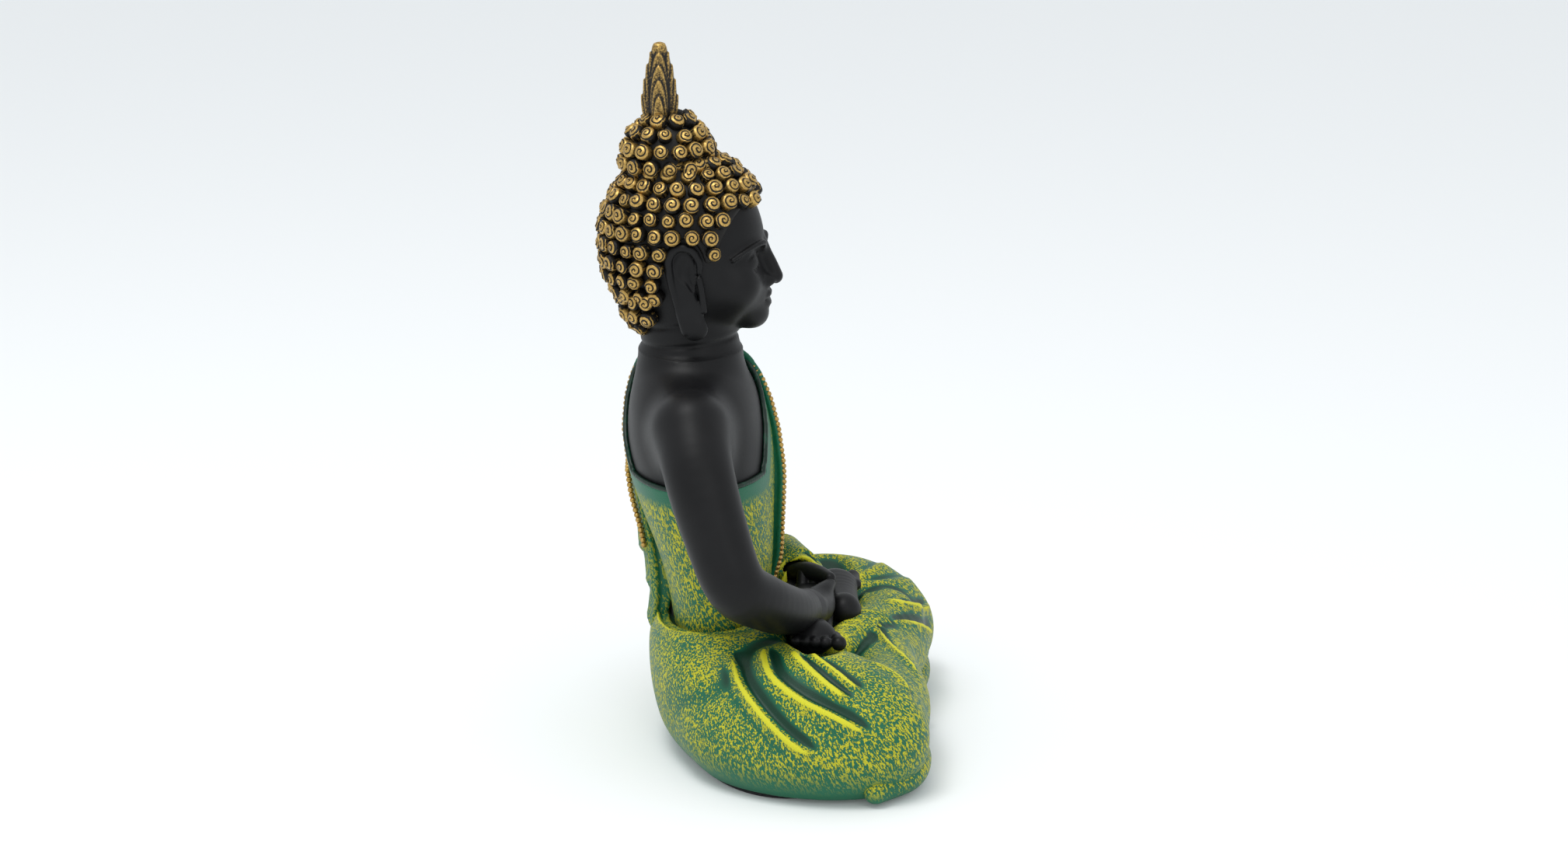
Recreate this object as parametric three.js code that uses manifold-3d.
// Seated Buddha statue in painted cast resin: hollow lap and torso castings, glued limbs, head, hair and
// finial, and a felt-covered base. Millimetres, +Z up. The figure faces -Y and its own left is +X.
// The origin is under the middle of the bounding box, on the surface the statue stands on.
import * as THREE from "three";
import { LoftGeometry } from "three/addons/geometries/LoftGeometry.js";
import { mergeVertices } from "three/addons/utils/BufferGeometryUtils.js";
import Module from "manifold-3d";

const wasm = await Module();
wasm.setup();

// ---------------------------------------------------------------- driving dimensions
const TOTAL_HEIGHT = 296; // felt to finial tip
const GAP = 0.35; // glue line between neighbouring castings
const FELT = 1.5; // felt sheet under the base
const RIM_Z = FELT + GAP; // lower rim of the lap casting
const CLOTH = 1.8; // robe casting over the torso
const SHAWL = 1.9; // shawl casting over the robe
const BEAD_R = 1.1; // beaded edging cord
const CURL_PITCH = 7.7; // spacing of the hair curls
const CURL_R = 3.6;
const CURL_HEIGHT = 3.4;

// ---------------------------------------------------------------- solids from three.js geometry
const vec = (x, y, z) => new THREE.Vector3(x, y, z);

// A closed three.js geometry as a manifold-3d solid.
function solid(geometry) {
  const bare = new THREE.BufferGeometry().copy(geometry);
  bare.deleteAttribute("normal");
  bare.deleteAttribute("uv");
  const merged = mergeVertices(bare, 1e-4);
  const made = new wasm.Manifold(
    new wasm.Mesh({
      numProp: 3,
      vertProperties: merged.attributes.position.array,
      triVerts: new Uint32Array(merged.index.array),
    }),
  );
  if (made.volume() <= 0) throw new Error("a primitive is empty or inside out");
  return made;
}

const join = (...solids) => solids.reduce((sum, next) => sum.add(next));
const cut = (body, ...tools) =>
  tools.reduce((rest, tool) => rest.subtract(tool), body);

// An ellipsoid turned by Euler angles in degrees.
function ellipsoid(centre, radii, turn = [0, 0, 0], across = 18, up = 10) {
  const g = new THREE.SphereGeometry(1, across, up);
  g.rotateX(Math.PI / 2);
  g.scale(...radii);
  const [a, b, c] = turn.map(THREE.MathUtils.degToRad);
  g.applyMatrix4(
    new THREE.Matrix4().makeRotationFromEuler(new THREE.Euler(a, b, c)),
  );
  g.translate(...centre);
  return solid(g);
}

function block(low, high) {
  const size = high.map((h, i) => h - low[i]);
  const g = new THREE.BoxGeometry(...size);
  g.translate(...low.map((l, i) => l + size[i] / 2));
  return solid(g);
}

// A tapered limb along a smooth path. knots: [x, y, z, radius]. domes are the angles that round its ends.
function limb(knots, { grow = 0, sides = 10, steps = 2, flat = 1, domes = [68, 34] } = {}) {
  const path = new THREE.CatmullRomCurve3(
    knots.map(([x, y, z]) => vec(x, y, z)),
    false,
    "centripetal",
  );
  const count = (knots.length - 1) * steps;
  const frames = path.computeFrenetFrames(count, false);
  const radiusAt = (t) => {
    const at = Math.min(t * (knots.length - 1), knots.length - 1 - 1e-9);
    const i = Math.floor(at);
    return THREE.MathUtils.lerp(knots[i][3], knots[i + 1][3], at - i) + grow;
  };
  const ring = (centre, i, radius) => {
    const points = [];
    for (let s = 0; s < sides; s++) {
      const a = (2 * Math.PI * s) / sides;
      points.push(
        centre
          .clone()
          .addScaledVector(frames.normals[i], radius * Math.cos(a))
          .addScaledVector(frames.binormals[i], radius * Math.sin(a) * flat),
      );
    }
    return points;
  };
  const sections = [];
  const domeSteps = domes.map(THREE.MathUtils.degToRad);
  const first = radiusAt(0);
  const last = radiusAt(1);
  for (const a of domeSteps)
    sections.push(
      ring(
        path
          .getPoint(0)
          .addScaledVector(frames.tangents[0], -first * Math.sin(a)),
        0,
        first * Math.cos(a),
      ),
    );
  for (let i = 0; i <= count; i++)
    sections.push(ring(path.getPoint(i / count), i, radiusAt(i / count)));
  for (const a of [...domeSteps].reverse())
    sections.push(
      ring(
        path
          .getPoint(1)
          .addScaledVector(frames.tangents[count], last * Math.sin(a)),
        count,
        last * Math.cos(a),
      ),
    );
  return solid(new LoftGeometry(sections, { capStart: true, capEnd: true }));
}

// A body of stacked ellipses. rows: [z, centre y, half width, half depth].
function stack(rows, { grow = 0, sides = 20, top = 0 } = {}) {
  const sections = rows.map(([z, y, w, d], i) => {
    const height = z + (i === rows.length - 1 ? top : 0);
    const points = [];
    for (let s = 0; s < sides; s++) {
      const a = (2 * Math.PI * s) / sides;
      points.push(
        vec((w + grow) * Math.cos(a), y + (d + grow) * Math.sin(a), height),
      );
    }
    return points;
  });
  return solid(new LoftGeometry(sections, { capStart: true, capEnd: true }));
}

// A prism along Y from an outline drawn in the XZ plane.
function prism(shape, nearY, farY) {
  const g = new THREE.ExtrudeGeometry(shape, {
    depth: farY - nearY,
    bevelEnabled: false,
    curveSegments: 6,
  });
  g.rotateX(Math.PI / 2);
  g.translate(0, farY, 0);
  return solid(g);
}

// ---------------------------------------------------------------- torso
const TORSO_ROWS = [
  [56, 16, 39, 21],
  [68, 17.5, 39.5, 21.8],
  [84, 20.5, 41.5, 23],
  [102, 24, 45.5, 26],
  [118, 26.5, 49, 28.5],
  [132, 28.2, 51.5, 29],
  [144, 29.2, 50.5, 27.5],
  [152, 29.8, 45, 25.5],
  [158, 30.5, 36.5, 23],
  [163, 31, 27.5, 21],
  [166, 31, 23, 20],
];
const NECK_TOP = 166;

function torsoRowAt(z) {
  const last = TORSO_ROWS.length - 1;
  const i = Math.min(
    last - 1,
    Math.max(0, TORSO_ROWS.findIndex((row) => row[0] > z) - 1),
  );
  const [low, high] = [TORSO_ROWS[i], TORSO_ROWS[i + 1]];
  const share = (z - low[0]) / (high[0] - low[0]);
  return low.map((value, k) => THREE.MathUtils.lerp(value, high[k], share));
}

// The y of the torso's surface, grown outwards. side is -1 in front and 1 behind.
function torsoY(x, z, grow, side) {
  const [, y, w, d] = torsoRowAt(z);
  const reach = Math.max(0, 1 - (x / (w + grow)) ** 2);
  return y + side * (d + grow) * Math.sqrt(reach);
}

const torsoSolid = (grow, top = 0) => stack(TORSO_ROWS, { grow, top });

// ---------------------------------------------------------------- lap
const HIPS = [
  [-1, 3, 67, 33.5],
  [10, 6.5, 72, 38],
  [26, 9.5, 72, 39.5],
  [44, 12, 70, 38],
  [55, 13.5, 61, 34],
  [62, 15, 50, 29],
  [65, 15.5, 43, 24.5],
];
const APRON = [
  [-1, -34, 74, 29],
  [12, -35, 76, 31],
  [24, -36, 70, 30],
  [36, -37, 56, 23],
];
const THIGH = { centre: [60, -18, 22], radii: [35.5, 54.5, 36.5], turn: 20 };
const LEFT_KNEE_RISE = [0, -1.3, 1.5]; // the left thigh lies over the right shin
const LAP_SEAT = 50; // level of the torso's seat inside the lap
const SHIN = [
  [68, -42, 24, 27.5],
  [38, -50, 26, 21],
  [4, -48, 30, 17],
];

const mirrored = ([x, ...rest], side) => [x * side, ...rest];

function lapSolid(grow = 0) {
  const parts = [stack(HIPS, { grow }), stack(APRON, { grow })];
  for (const side of [-1, 1]) {
    const shin = SHIN.map((knot) => mirrored(knot, side));
    parts.push(limb(shin, { grow, sides: 12 }));
    const rise = side > 0 ? LEFT_KNEE_RISE : [0, 0, 0];
    parts.push(
      ellipsoid(
        mirrored(THIGH.centre, side).map((c, i) => c + rise[i]),
        THIGH.radii.map((r) => r + grow),
        [0, 0, THIGH.turn * side],
        20,
        12,
      ),
    );
  }
  return join(...parts);
}

const below = (z) => block([-200, -200, -200], [200, 200, z]);
const above = (z) => block([-200, -200, z], [200, 200, 400]);

const PLATE = { centreY: -12, halfWidth: 60, halfDepth: 27, thick: 3 };
const FELT_EDGE = { halfWidth: 82, halfDepth: 44 };

// A flat oval slab under the statue.
function slab({ halfWidth, halfDepth }, low, high, grow = 0) {
  const oval = new THREE.Shape().absellipse(
    0,
    PLATE.centreY,
    halfWidth + grow,
    halfDepth + grow,
    0,
    2 * Math.PI,
  );
  const g = new THREE.ExtrudeGeometry(oval, {
    depth: high - low,
    bevelEnabled: false,
    curveSegments: 24,
  });
  g.translate(0, 0, low);
  return solid(g);
}

// ---------------------------------------------------------------- head, hair and finial
const SKULL = { centre: [0, 32, 212], radii: [26, 32, 37] };
const HAIR = { centre: [0, 33.4, 215.5], radii: [28.4, 33.9, 35.6] };
const NAPE = { centre: [0, 40.5, 197], radii: [21.5, 18.5, 22.5] };
const TOPKNOT = { centre: [0, 39.5, 248], radii: [16.5, 16.5, 18.5] };
const HAIRLINE = { y: 20.5, z: 231, nape: 179, crown: 251 };
const FINIAL = { y: 43.6, foot: 265.5, peg: 2.4, pegLength: 9 };
const EAR = { front: 24.5, back: 38, top: 218, lobe: 178, inner: 24.5, thick: 4.5 };
const NECK_SPIGOT = { y: 30.5, radius: 11, length: 10 };
const FACE = {
  jaw: { centre: [0, 21, 197], radii: [21, 20.5, 21] },
  chin: { centre: [0, 7, 183], radii: [10, 6, 7] },
  bridge: [0, 2.5, 213, 2.6],
  noseTip: [0, -3, 201, 4],
  mouth: { centre: [0, 2.2, 191.5], radii: [7.5, 3, 2.6] },
  lid: { centre: [9.5, 4, 206.5], radii: [6.2, 3, 3.2], turn: 10 },
};
const NECK = [
  [171, 31, 20.4, 20.4],
  [186, 33, 20, 20],
  [196, 35, 19, 19],
];

function headSolid(grow = 0) {
  const widened = ([x, y, z]) => [x + grow, y + grow, z + grow];
  const grown = ({ centre, radii }, across, up, turn = 0) =>
    ellipsoid(centre, widened(radii), [0, 0, turn], across, up);
  const { jaw, chin, bridge, noseTip, mouth, lid } = FACE;
  const lids = [-1, 1].map((side) =>
    grown({ ...lid, centre: mirrored(lid.centre, side) }, 12, 6, lid.turn * side),
  );
  return join(
    grown(jaw, 16, 10),
    grown(SKULL, 20, 12),
    limb([bridge, noseTip], { grow, sides: 8, steps: 1 }),
    grown(chin, 12, 8),
    grown(mouth, 12, 6),
    ...lids,
  );
}

const neckSolid = (grow = 0) =>
  join(
    stack(
      [[NECK_TOP + GAP - grow, NECK_SPIGOT.y, 21, 20.5], ...NECK],
      { grow, sides: 20 },
    ),
    spigot(
      0,
      NECK_SPIGOT.y,
      NECK_TOP - NECK_SPIGOT.length,
      NECK_TOP + 6,
      NECK_SPIGOT.radius + grow,
    ),
  );

// An upright round peg or hole.
function spigot(x, y, low, high, radius, sides = 16) {
  const g = new THREE.CylinderGeometry(radius, radius, high - low, sides);
  g.rotateX(Math.PI / 2);
  g.translate(x, y, (low + high) / 2);
  return solid(g);
}

// The head's hair without its curls.
const hairBulk = (grow = 0) =>
  cut(
    join(
      ...[HAIR, NAPE].map(({ centre, radii }) =>
        ellipsoid(centre, radii.map((r) => r + grow), [0, 0, 0], 20, 12),
      ),
    ),
    faceSide(grow),
    below(HAIRLINE.nape - grow),
  );

// The room in front of the hairline.
const faceSide = (grow = 0) =>
  block([-60, -60, 120], [60, HAIRLINE.y - grow, HAIRLINE.z - grow]);

// Seats for curls on an ellipsoid, as [point, normal], in rows set like bricks between two levels.
function curlSeats({ centre, radii }, lowest, highest) {
  const seats = [];
  const rows = Math.round((Math.PI * (radii[1] + radii[2])) / 2 / (CURL_PITCH * 0.94));
  for (let row = 0; row < rows; row++) {
    const tilt = (Math.PI * (row + 0.5)) / rows;
    const level = centre[2] + radii[2] * Math.cos(tilt);
    if (level < lowest || level > highest) continue;
    const girth = Math.PI * (radii[0] + radii[1]) * Math.sin(tilt);
    const count = Math.max(1, Math.round(girth / CURL_PITCH));
    for (let k = 0; k < count; k++) {
      const turn = (2 * Math.PI * (k + (row % 2) / 2)) / count;
      const unit = [
        Math.sin(tilt) * Math.sin(turn),
        Math.sin(tilt) * Math.cos(turn),
        Math.cos(tilt),
      ];
      const point = vec(...unit.map((u, i) => centre[i] + u * radii[i]));
      const normal = vec(...unit.map((u, i) => u / radii[i])).normalize();
      seats.push([point, normal]);
    }
  }
  return seats;
}

// One curl as a low four-sided cone standing on the hair.
function curl([point, normal]) {
  const sunk = 2;
  const g = new THREE.ConeGeometry(CURL_R, CURL_HEIGHT + sunk, 4);
  g.translate(0, (CURL_HEIGHT - sunk) / 2, 0);
  g.applyQuaternion(
    new THREE.Quaternion().setFromUnitVectors(vec(0, 1, 0), normal),
  );
  g.translate(point.x, point.y, point.z);
  return solid(g);
}

// Whether a curl stands clear of the face, the nape, the ears and the topknot.
function bearsCurl([p]) {
  const onFace = p.y < HAIRLINE.y + 2 && p.z < HAIRLINE.z + 2;
  const atNape = p.z < HAIRLINE.nape + 3;
  const atEar = Math.abs(p.x) > 20 && p.y < EAR.back + 3 && p.z < EAR.top + 1;
  return !onFace && !atNape && !atEar;
}

function hairCap() {
  const nape = NAPE.centre[2] - 3;
  const seats = [
    ...curlSeats(HAIR, nape, HAIRLINE.crown),
    ...curlSeats(NAPE, HAIRLINE.nape, nape).filter(([p]) => p.y > NAPE.centre[1]),
  ];
  return cut(
    join(hairBulk(), ...seats.filter(bearsCurl).map(curl)),
    above(HAIRLINE.crown),
    headSolid(GAP),
    neckSolid(GAP),
    topknotCore(GAP),
  );
}

const topknotCore = (grow = 0) =>
  ellipsoid(TOPKNOT.centre, TOPKNOT.radii.map((r) => r + grow), [0, 0, 0], 16, 10);

function topknot() {
  const top = FINIAL.foot - GAP;
  const curls = cut(
    join(...curlSeats(TOPKNOT, HAIRLINE.crown, top).map(curl)),
    below(HAIRLINE.crown + GAP),
  );
  const socket = spigot(
    0,
    FINIAL.y,
    FINIAL.foot - FINIAL.pegLength - GAP,
    TOTAL_HEIGHT,
    FINIAL.peg + GAP,
    12,
  );
  return cut(join(topknotCore(), curls), headSolid(GAP), socket, above(top));
}

// A flame-shaped spindle on a peg that seats in the topknot.
function finial() {
  const tip = TOTAL_HEIGHT - FINIAL.foot;
  const flame = new THREE.SplineCurve([
    new THREE.Vector2(4.6, 0),
    new THREE.Vector2(7.3, 4),
    new THREE.Vector2(6.9, 12),
    new THREE.Vector2(4.6, tip - 7.5),
    new THREE.Vector2(2.4, tip - 2),
  ]).getPoints(9);
  const g = new THREE.LatheGeometry(
    [new THREE.Vector2(0, 0), ...flame, new THREE.Vector2(0, tip)],
    14,
  );
  g.rotateX(Math.PI / 2);
  g.translate(0, FINIAL.y, FINIAL.foot);
  const peg = spigot(
    0,
    FINIAL.y,
    FINIAL.foot - FINIAL.pegLength,
    FINIAL.foot + 1,
    FINIAL.peg,
    12,
  );
  return join(solid(g), peg);
}

// A long ear with a hanging lobe, drawn in the YZ plane and stood off the head.
function ear(side) {
  const { front, back, top, lobe, thick } = EAR;
  const outline = new THREE.Shape();
  outline.moveTo(back, top - 7);
  outline.bezierCurveTo(back, top + 1, front + 0.5, top + 2, front, top - 7);
  outline.bezierCurveTo(front, top - 14, front + 2.5, top - 18, front + 2.5, top - 24);
  outline.lineTo(front, lobe + 0.5);
  outline.quadraticCurveTo(front + 3.5, lobe - 1.5, front + 7, lobe);
  outline.bezierCurveTo(front + 9.5, lobe + 12, back, top - 20, back, top - 7);
  const g = new THREE.ExtrudeGeometry(outline, {
    depth: thick,
    bevelEnabled: false,
    curveSegments: 5,
  });
  g.applyMatrix4(
    new THREE.Matrix4().makeBasis(vec(0, 1, 0), vec(0, 0, 1), vec(1, 0, 0)),
  );
  g.translate(EAR.inner, 0, 0);
  const made = side > 0 ? solid(g) : solid(g).mirror([1, 0, 0]);
  return cut(made, headSolid(GAP), neckSolid(GAP), hairBulk(GAP));
}

// ---------------------------------------------------------------- arms and hands
const ARM = [
  [-49, 28, 147, 14.5],
  [-61, 24, 130, 14.3],
  [-69, 17, 108, 13.3],
  [-73, 9, 88, 12.5],
  [-62, -2, 77, 11.5],
  [-44, -12, 68, 10],
  [-26, -18, 63, 8],
];
const SLEEVE = [
  [49, 28, 147, 15],
  [61, 24, 130, 15],
  [69, 18, 108, 14],
  [71, 13, 87, 13],
  [59, 5, 67, 10.8],
  [43, -6, 61.5, 10],
  [29, -14, 59, 9.6],
];
const HAND = {
  palm: [
    [-23, -18, 62, 7.6],
    [-12, -19, 59.5, 9.4],
    [2, -19, 58, 9.2],
  ],
  fingerRoot: 4,
  fingerTip: 24,
  fingerR: 2.9,
  fingerZ: 58,
  fingerY: [-10.5, -15.6, -20.8, -26],
  thumb: [
    [-12, -25, 61, 3.6],
    [-6, -28.5, 64, 3.3],
    [-1.8, -28.5, 66.5, 2.7],
  ],
};
const DIGIT = { sides: 6, steps: 1, domes: [50] };
const LOWER_HAND_DROP = 6.5; // the left hand lies this far below the right one

const rightArm = (grow = 0) => limb(ARM, { grow, sides: 12 });
const leftSleeve = (grow = 0) => limb(SLEEVE, { grow, sides: 12 });

// A hand lying palm up. side is -1 for the right hand and 1 for the left.
function handSolid(side, drop, grow = 0) {
  const at = ([x, y, z, r]) => [x * side * -1, y, z - drop, r];
  const parts = [
    limb(HAND.palm.map(at), { grow, flat: 0.62 }),
    limb(HAND.thumb.map(at), { ...DIGIT, grow }),
  ];
  HAND.fingerY.forEach((y, i) => {
    const reach = HAND.fingerTip - 2.2 * Math.abs(i - 1.4);
    const finger = [
      [HAND.fingerRoot - 6, y, HAND.fingerZ, HAND.fingerR],
      [HAND.fingerRoot + 8, y, HAND.fingerZ + 0.8, HAND.fingerR],
      [reach, y, HAND.fingerZ - 1.5, HAND.fingerR - 0.6],
    ];
    parts.push(limb(finger.map(at), { ...DIGIT, grow }));
  });
  return join(...parts);
}

const rightHand = (grow = 0) => handSolid(-1, 0, grow);
const leftHand = (grow = 0) => handSolid(1, LOWER_HAND_DROP, grow);

// The smooth hollow in the lap cloth under both hands.
const handBed = () => ellipsoid([0, -18.5, 57], [38, 16, 14.5], [0, 0, 0], 20, 10);

// ---------------------------------------------------------------- feet
const LEFT_FOOT = { heel: [-8, -15, 54], toes: [-46, -21, 56] };
const RIGHT_FOOT = { heel: [2, -36, 52.5], toes: [42, -34, 55] };

// Points along a foot's centre line, moved sideways and given a radius.
function footLine({ heel, toes }) {
  const from = vec(...heel);
  const along = vec(...toes).sub(from);
  return (share, across, radius) => {
    const p = from.clone().addScaledVector(along, share);
    return [p.x, p.y + across, p.z, radius];
  };
}

// A foot lying sole up.
function footSolid(foot, grow = 0) {
  const at = footLine(foot);
  const sole = [at(0.02, 0, 8), at(0.4, 0, 8.4), at(0.8, 0, 10.4)];
  const parts = [limb(sole, { grow, flat: 0.72 })];
  for (let toe = 0; toe < 5; toe++) {
    const across = -8.6 + toe * 4.3;
    const radius = toe === 0 ? 3.4 : 2.5;
    const line = [at(0.85, across, radius), at(1.1 - toe * 0.025, across, radius)];
    parts.push(limb(line, { ...DIGIT, grow }));
  }
  return join(...parts);
}

// The bed of a foot in the lap cloth.
function footBed(foot) {
  const at = footLine(foot);
  const sole = [at(0, 0, 9.5), at(0.5, 0, 11.5), at(1.12, 0, 13.6)];
  return limb(sole, { grow: GAP, flat: 0.78 });
}

const leftFoot = (grow = 0) => footSolid(LEFT_FOOT, grow);
const rightFoot = (grow = 0) => footSolid(RIGHT_FOOT, grow);

// ---------------------------------------------------------------- cloth over the torso
const NECKLINE = { side: 120, turn: 12, cornerX: -20, slope: 1.05 };

// The bare side of the chest: above the armpit line and right of the slanting edge.
function bareSide() {
  const { side, turn, cornerX, slope } = NECKLINE;
  const edgeX = cornerX + (NECK_TOP - side) / slope;
  const s = new THREE.Shape();
  s.moveTo(-120, side);
  s.lineTo(cornerX - turn, side);
  s.quadraticCurveTo(cornerX, side, cornerX + turn * 0.55, side + turn);
  s.lineTo(edgeX, NECK_TOP);
  s.lineTo(edgeX, NECK_TOP + 60);
  s.lineTo(-120, NECK_TOP + 60);
  s.closePath();
  return prism(s, -80, 120);
}

const underRobe = () =>
  cut(
    torsoSolid(CLOTH),
    torsoSolid(GAP, 4),
    bareSide(),
    lapSolid(GAP),
    below(LAP_SEAT),
    neckSolid(GAP),
    rightArm(GAP),
    leftSleeve(GAP),
  );

// The shawl's band in the XZ plane, from its beaded right edge to its beaded left edge.
const SHAWL_RIGHT = [
  [19, 169],
  [12, 150],
  [4, 125],
  [-1, 100],
  [0, 66],
];
const SHAWL_LEFT = [
  [34, 66],
  [37, 100],
  [43, 125],
  [47, 150],
  [48, 172],
];
const SHAWL_OUT = CLOTH + GAP + SHAWL; // outer face of the shawl over the bare torso

function shawlBand() {
  const planar = (points) => points.map(([x, z]) => new THREE.Vector2(x, z));
  const s = new THREE.Shape();
  s.moveTo(...SHAWL_RIGHT[SHAWL_RIGHT.length - 1]);
  s.lineTo(...SHAWL_LEFT[0]);
  s.splineThru(planar(SHAWL_LEFT.slice(1)));
  s.lineTo(...SHAWL_RIGHT[0]);
  s.splineThru(planar(SHAWL_RIGHT.slice(1)));
  return prism(s, -80, 120);
}

const shoulderShawl = () =>
  cut(
    torsoSolid(SHAWL_OUT).intersect(shawlBand()),
    torsoSolid(CLOTH + GAP, 6),
    lapSolid(GAP),
    neckSolid(GAP),
    headSolid(GAP),
    leftSleeve(GAP),
    leftHand(GAP),
    rightHand(GAP),
  );

// The shawl's loose end, standing clear of the back. rows: [z, y of the outer face, thickness].
const FALL = [
  [118, 58.6, 4],
  [106, 57, 5],
  [90, 53, 6],
  [76, 50.6, 6.5],
  [60, 50, 6],
];

function shawlFall() {
  const sections = FALL.map(([z, y, thick], i) => [
    vec(-3 - i, y - 1.5, z),
    vec(6, y, z),
    vec(15, y - 1, z),
    vec(24, y - 0.5, z),
    vec(34 + i, y - 5, z),
    vec(34 + i, y - 5 - thick, z),
    vec(15, y - 1 - thick, z),
    vec(-3 - i, y - 1.5 - thick, z),
  ]);
  const flap = solid(
    new LoftGeometry(sections, { capStart: true, capEnd: true }),
  );
  return cut(flap, torsoSolid(SHAWL_OUT + GAP), lapSolid(GAP), leftSleeve(GAP));
}

// Beaded cord along an edge of the shawl. face is -1 down the front and 1 down the back.
function beadCord(edge, face, lowest) {
  const outset = SHAWL_OUT + GAP + BEAD_R;
  const knots = edge
    .filter(([, z]) => z >= lowest && z <= 150)
    .map(([x, z]) => [x, torsoY(x, z, outset, face), z, BEAD_R]);
  const cord = limb(knots, { sides: 6, steps: 2 });
  return cut(cord, torsoSolid(SHAWL_OUT + GAP), leftSleeve(GAP), rightHand(GAP));
}

// ---------------------------------------------------------------- hems of the lap cloth
const KNEE_HEM = [
  [36, -63, 7, 5],
  [56, -64.2, 9, 6.5],
  [74, -61, 8.5, 6.5],
  [89, -48, 6.5, 5],
];

const kneeHemBulk = (side, grow = 0) =>
  limb(KNEE_HEM.map((knot) => mirrored(knot, side)), { grow, flat: 1.1 });

const kneeHem = (side) => cut(kneeHemBulk(side), lapSolid(GAP), below(RIM_Z));

const centreHem = () =>
  cut(
    ellipsoid([0, -58, 9], [32, 11, 15], [12, 0, 0], 20, 10),
    lapSolid(GAP),
    kneeHemBulk(-1, GAP),
    kneeHemBulk(1, GAP),
    below(RIM_Z),
  );

// ---------------------------------------------------------------- hollows
const lapHollow = () =>
  join(
    stack(
      [
        [-1, -11, 60 + GAP, 27 + GAP],
        [30, -9, 62, 28],
        [LAP_SEAT, 12, 40, 17],
      ],
      { sides: 16 },
    ),
    slab(PLATE, -1, RIM_Z + PLATE.thick + GAP, GAP),
  );

const TORSO_PLUG = { y: 16, halfWidth: 33, halfDepth: 16, low: LAP_SEAT - 6, high: 60 };

// The plug that seats the torso in the lap.
function torsoPlug(grow = 0) {
  const { y, halfWidth, halfDepth, low, high } = TORSO_PLUG;
  const ends = [low - grow, high].map((z) => [z, y, halfWidth, halfDepth]);
  return stack(ends, { grow });
}

const torsoHollow = () =>
  join(
    stack(
      [
        [TORSO_PLUG.low - 4, 17, 24, 8],
        [60, 17, 26, 10],
        [100, 22, 32, 16],
        [135, 26, 36, 18],
        [146, 28, 24, 12],
      ],
      { sides: 16 },
    ),
    spigot(0, NECK_SPIGOT.y, 140, NECK_TOP - NECK_SPIGOT.length, 8),
  );

const neckSocket = () =>
  spigot(
    0,
    NECK_SPIGOT.y,
    NECK_TOP - NECK_SPIGOT.length - GAP,
    TOTAL_HEIGHT,
    NECK_SPIGOT.radius + GAP,
  );

// ---------------------------------------------------------------- materials
const colours = {
  skin: [0x262626, 0.45, 0],
  robe: [0x6f9a2c, 0.55, 0],
  gold: [0xb58a3a, 0.35, 0.8],
  hair: [0x4a3a1c, 0.5, 0.4],
  felt: [0x151515, 0.95, 0],
  resin: [0x3a3a38, 0.7, 0],
};
const materials = Object.fromEntries(
  Object.entries(colours).map(([name, [color, roughness, metalness]]) => [
    name,
    new THREE.MeshStandardMaterial({ name, color, roughness, metalness }),
  ]),
);

// ---------------------------------------------------------------- assembly
const statue = new THREE.Group();

// Adds a solid as a named mesh. Only its largest body is kept: what else the cuts leave is slivers.
function place(name, material, made) {
  const largest = made
    .decompose()
    .reduce((best, next) => (next.volume() > best.volume() ? next : best));
  const { vertProperties, triVerts, numProp } = largest.getMesh();
  const geometry = new THREE.BufferGeometry()
    .setAttribute("position", new THREE.BufferAttribute(vertProperties, numProp))
    .setIndex(new THREE.BufferAttribute(triVerts, 1));
  geometry.computeVertexNormals();
  const mesh = new THREE.Mesh(geometry, materials[material]);
  mesh.name = name;
  statue.add(mesh);
}

place("felt_base", "felt", slab(FELT_EDGE, 0, FELT));
place("base_plate", "resin", slab(PLATE, RIM_Z, RIM_Z + PLATE.thick));
place(
  "lap_robe",
  "robe",
  cut(
    lapSolid(),
    below(RIM_Z),
    lapHollow(),
    torsoPlug(GAP),
    torsoSolid(GAP, 4),
    footBed(LEFT_FOOT),
    footBed(RIGHT_FOOT),
    handBed(),
    leftFoot(GAP),
    rightFoot(GAP),
    leftHand(GAP),
  ),
);
place(
  "torso",
  "skin",
  cut(
    join(torsoSolid(0), torsoPlug()),
    torsoHollow(),
    neckSocket(),
    rightArm(GAP),
    leftSleeve(GAP),
  ),
);
place("under_robe", "robe", underRobe());
place("shoulder_shawl", "robe", shoulderShawl());
place("shawl_fall", "robe", shawlFall());
place("front_bead_cord", "gold", beadCord(SHAWL_RIGHT, -1, 80));
place("side_bead_cord", "gold", beadCord(SHAWL_LEFT, -1, 80));
place("back_bead_cord", "gold", beadCord(SHAWL_RIGHT, 1, 125));

place("head", "skin", join(headSolid(), neckSolid()));
place("right_ear", "skin", ear(-1));
place("left_ear", "skin", ear(1));
place("hair_cap", "hair", hairCap());
place("topknot", "hair", topknot());
place("finial", "gold", finial());

place(
  "right_arm",
  "skin",
  cut(rightArm(), rightHand(GAP), leftFoot(GAP), lapSolid(GAP)),
);
place(
  "left_sleeve",
  "robe",
  cut(leftSleeve(), rightHand(GAP), leftHand(GAP), rightFoot(GAP), lapSolid(GAP)),
);
place("right_hand", "skin", cut(rightHand(), leftFoot(GAP), rightFoot(GAP)));
place(
  "left_hand",
  "skin",
  cut(leftHand(), rightHand(GAP), leftFoot(GAP), rightFoot(GAP)),
);
place("left_foot", "skin", leftFoot());
place("right_foot", "skin", cut(rightFoot(), leftFoot(GAP)));

place("right_knee_hem", "robe", kneeHem(-1));
place("left_knee_hem", "robe", kneeHem(1));
place("centre_hem", "robe", centreHem());

export default statue;
